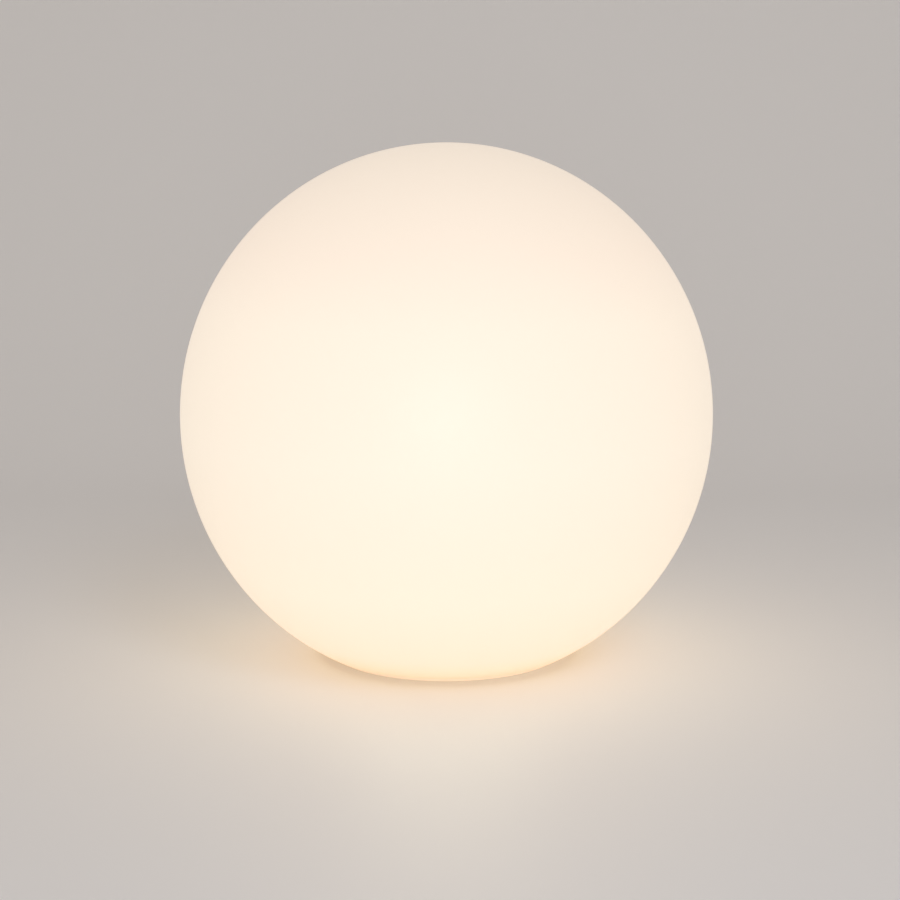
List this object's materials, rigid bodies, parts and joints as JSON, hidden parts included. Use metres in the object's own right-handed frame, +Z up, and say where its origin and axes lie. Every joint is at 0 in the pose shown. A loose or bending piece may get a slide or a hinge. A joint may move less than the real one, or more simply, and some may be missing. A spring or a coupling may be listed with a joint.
{
  "type": "garden globe light",
  "caption": "Ball-shaped garden light that stands on its own flat base, with a battery lamp that twists out of the neck in its underside.",
  "frame": {"origin": "middle of the flat that the ball stands on", "axes": "+Z up through the ball's top; the front, with the push button's pocket, faces -Y; +X to the right seen from the front"},
  "size_m": [0.4, 0.4, 0.3868],
  "materials": {
    "ball_plastic": "satin, translucent, warm white",
    "white_plastic": "fine grain",
    "black_plastic": "fine grain",
    "ivory_plastic": "satin",
    "clear_plastic": "polished clear",
    "frosted_plastic": "frosted, translucent",
    "black_rubber": "matt",
    "button_rubber": "matt",
    "grey_silicone": "matt",
    "brass": "turned",
    "stainless": "brushed",
    "nickel": "rolled strip",
    "black_steel": "blackened",
    "anodised": "satin anodised",
    "can_aluminium": "drawn can",
    "cell_wrap": null,
    "circuit_board": "solder mask",
    "white_board": "white solder mask on aluminium",
    "chip_black": "moulded epoxy",
    "ferrite": "sintered",
    "led_yellow": "phosphor",
    "red_lead": "smooth sleeve",
    "black_lead": "smooth sleeve"
  },
  "bodies": {
    "globe": {"globe_shell": "ball_plastic", "neck_collar": "ball_plastic", "shell_inserts": "brass", "neck_gasket": "black_rubber", "neck_ring": "white_plastic", "neck_screws": "stainless"},
    "seal": {"lamp_seal": "grey_silicone"},
    "lamp_unit": {"base_cup": "white_plastic", "light_pipe": "clear_plastic", "port_pin": "stainless", "control_board": "circuit_board", "controller_chips": "chip_black", "charge_inductor": "ferrite", "capacitors": "can_aluminium", "power_switch": "chip_black", "charge_socket": "stainless", "status_led": "led_yellow", "lead_socket": "ivory_plastic", "board_spacers": "brass", "battery_cradle": "black_plastic", "cradle_screws": "stainless", "battery_cell_1": "cell_wrap", "battery_cell_2": "cell_wrap", "cell_links": "nickel", "cover_gasket": "black_rubber", "top_cover": "white_plastic", "cover_screws": "stainless", "lead_grommet": "black_rubber", "mast_tube": "anodised", "mast_screws": "black_steel", "lamp_lead_plus": "red_lead", "lamp_lead_minus": "black_lead", "heat_sink": "anodised", "sink_screws": "black_steel", "lamp_base": "white_plastic", "base_screws": "stainless", "led_column": "anodised", "led_board_1": "white_board", "led_board_2": "white_board", "led_board_3": "white_board", "led_board_4": "white_board", "led_board_5": "white_board", "led_board_6": "white_board", "led_chips": "led_yellow", "top_led_board": "white_board", "top_led_chips": "led_yellow", "lamp_diffuser": "frosted_plastic", "diffuser_ring": "white_plastic"},
    "power_button": {"power_button": "button_rubber", "button_o_ring": "black_rubber", "switch_plunger": "chip_black"},
    "port_cover": {"port_cover": "button_rubber"}
  },
  "joints": [
    {"name": "unit_drop", "type": "slide", "parent": "globe", "child": "seal", "axis": [0, 0, -1], "range_m": [0, 0.00301]},
    {"name": "unit_twist", "type": "hinge", "parent": "seal", "child": "lamp_unit", "pos_m": [0, 0, 0], "axis": [0, 0, -1], "range_deg": [0, 60]},
    {"name": "button_press", "type": "slide", "parent": "lamp_unit", "child": "power_button", "axis": [0, 0, 1], "range_m": [0, 0.0008], "stiffness_N_per_m": 600, "springref_m": -0.0006},
    {"name": "port_cover_hinge", "type": "hinge", "parent": "lamp_unit", "child": "port_cover", "pos_m": [-0.011, 0.021, 0.0149], "axis": [0, 1, 0], "range_deg": [0, 110]}
  ],
  "couplings": [
    {"joint": "unit_drop", "follows": "unit_twist", "m_per_rad": 0.0028648}
  ]
}
